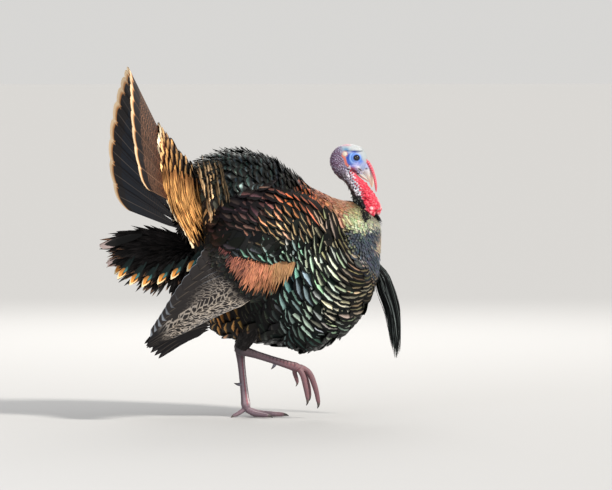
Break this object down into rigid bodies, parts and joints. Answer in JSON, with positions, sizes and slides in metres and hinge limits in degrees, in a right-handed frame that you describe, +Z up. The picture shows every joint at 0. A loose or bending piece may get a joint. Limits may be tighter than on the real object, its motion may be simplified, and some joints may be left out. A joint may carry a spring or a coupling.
{
  "type": "wild turkey gobbler in strut",
  "caption": "Strutting male wild turkey, tail fanned and wings drooped, walking on one foot with the other lifted; bare blue head, red wattles, snood and beard.",
  "frame": {"origin": "middle of the bounding box on the floor, under the bird", "axes": "+X forwards, the way the bill points; +Y to the bird's left; +Z up"},
  "size_m": [0.6986, 0.7042, 0.8094],
  "materials": {
    "plumage_black": "glossy black feathers with green and bronze lights",
    "plumage_green": "iridescent green and bronze feathers with black edges",
    "plumage_copper": "copper feathers with a satin sheen",
    "plumage_barred": "matt flight feathers barred dark and pale",
    "plumage_tail": "brown barred tail feathers with a black band and buff tips",
    "plumage_tan": "chestnut coverts with tan tips",
    "beard": "coarse black bristles",
    "skin_blue": "bare blue-white wrinkled skin",
    "skin_red": "moist red pebbled skin",
    "horn": "pale satin horn",
    "claw": "dark satin horn",
    "eye": "wet gloss",
    "leg": "satin scaled skin, pinkish grey"
  },
  "bodies": {
    "root": {"trunk": "plumage_black", "tail_coverts_under": "plumage_black", "thigh_left": "plumage_black", "thigh_right": "plumage_black", "wing_left": "plumage_green", "wing_right": "plumage_green", "neck_base": "plumage_copper", "wing_coverts_left": "plumage_copper", "wing_coverts_right": "plumage_copper", "primaries_left": "plumage_barred", "primaries_right": "plumage_barred", "secondaries_left": "plumage_barred", "secondaries_right": "plumage_barred", "tail_fan": "plumage_tail", "tail_coverts_upper": "plumage_tan", "beard": "beard", "head": "skin_blue", "neck": "skin_red", "wattle": "skin_red", "snood": "skin_red", "bill_upper": "horn", "bill_lower": "horn", "eye_left": "eye", "eye_right": "eye", "tarsus_left": "leg", "toe_left_middle": "leg", "toe_left_inner": "leg", "toe_left_outer": "leg", "toe_left_hind": "leg", "tarsus_right": "leg", "toe_right_middle": "leg", "toe_right_inner": "leg", "toe_right_outer": "leg", "toe_right_hind": "leg", "spur_left": "claw", "claw_left_middle": "claw", "claw_left_inner": "claw", "claw_left_outer": "claw", "claw_left_hind": "claw", "spur_right": "claw", "claw_right_middle": "claw", "claw_right_inner": "claw", "claw_right_outer": "claw", "claw_right_hind": "claw"}
  },
  "joints": []
}
